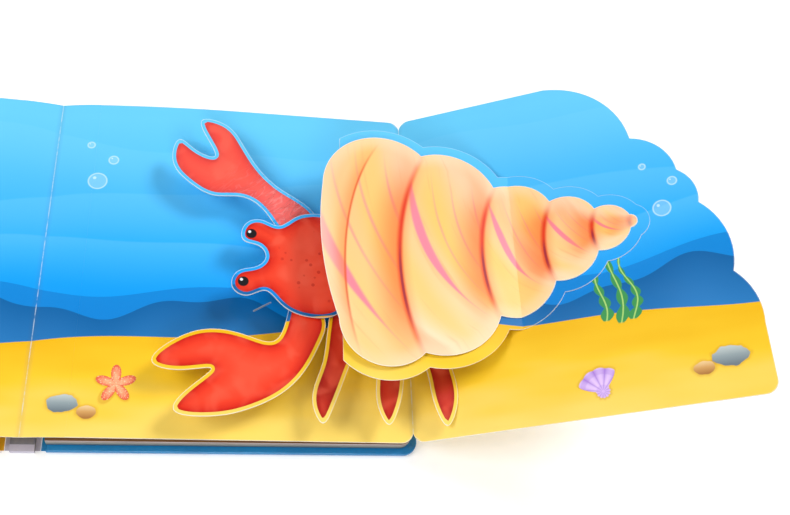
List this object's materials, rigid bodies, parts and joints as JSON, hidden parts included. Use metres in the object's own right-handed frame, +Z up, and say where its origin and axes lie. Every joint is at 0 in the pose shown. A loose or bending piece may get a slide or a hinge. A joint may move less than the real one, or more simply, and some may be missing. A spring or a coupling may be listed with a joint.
{
  "type": "pop-up board book",
  "caption": "Hard-cover pop-up board book lying open, with a flap that folds out from the right page and a raised crab with a spiral shell standing on card struts.",
  "frame": {"origin": "middle of the spine's underside, on the surface the open book lies on", "axes": "+X from the left page to the right page, +Y from the front edge of the pages to the back edge, +Z up"},
  "size_m": [0.5111, 0.1904, 0.091],
  "materials": {
    "greyboard": "pressed grey board",
    "teal_cover_paper": "glossy printed paper",
    "yellow_cover_paper": "glossy printed paper",
    "lilac_spine_paper": "printed paper",
    "lining_paper": "printed lining paper",
    "page_board": "card leaves, cut edges",
    "page_print": "laminated printed card",
    "margin_print": "laminated printed card",
    "shell_print": "laminated printed card",
    "red_print": "laminated printed card",
    "white_card": "plain card"
  },
  "bodies": {
    "back_half": {"back_board": "greyboard", "back_cover_paper": "teal_cover_paper", "back_lining": "lining_paper", "right_pages": "page_board", "right_page_and_flap": "page_print", "shell_backing": "margin_print", "shell_front": "shell_print", "shell_tab": "white_card", "crab_body": "red_print", "upper_claw": "red_print", "lower_claw": "red_print", "crab_head": "red_print", "head_spacer": "white_card", "body_strut": "white_card", "shell_strut": "white_card"},
    "spine": {"spine_board": "greyboard", "spine_paper": "lilac_spine_paper", "spine_lining": "lining_paper", "gutter_bend": "page_print"},
    "front_half": {"front_board": "greyboard", "front_cover_paper": "yellow_cover_paper", "front_lining": "lining_paper", "left_pages": "page_board", "left_page_sheet": "page_print"}
  },
  "joints": [
    {"name": "back_hinge", "type": "hinge", "parent": "back_half", "child": "spine", "pos_m": [0.008, 0, 0.00013], "axis": [0, 1, 0], "range_deg": [0, 65], "deforming": ["gutter_bend"]},
    {"name": "front_hinge", "type": "hinge", "parent": "spine", "child": "front_half", "pos_m": [-0.008, 0, 0.00013], "axis": [0, 1, 0], "range_deg": [0, 65], "deforming": ["gutter_bend"]}
  ],
  "couplings": [
    {"joint": "front_hinge", "follows": "back_hinge", "ratio": 1}
  ]
}
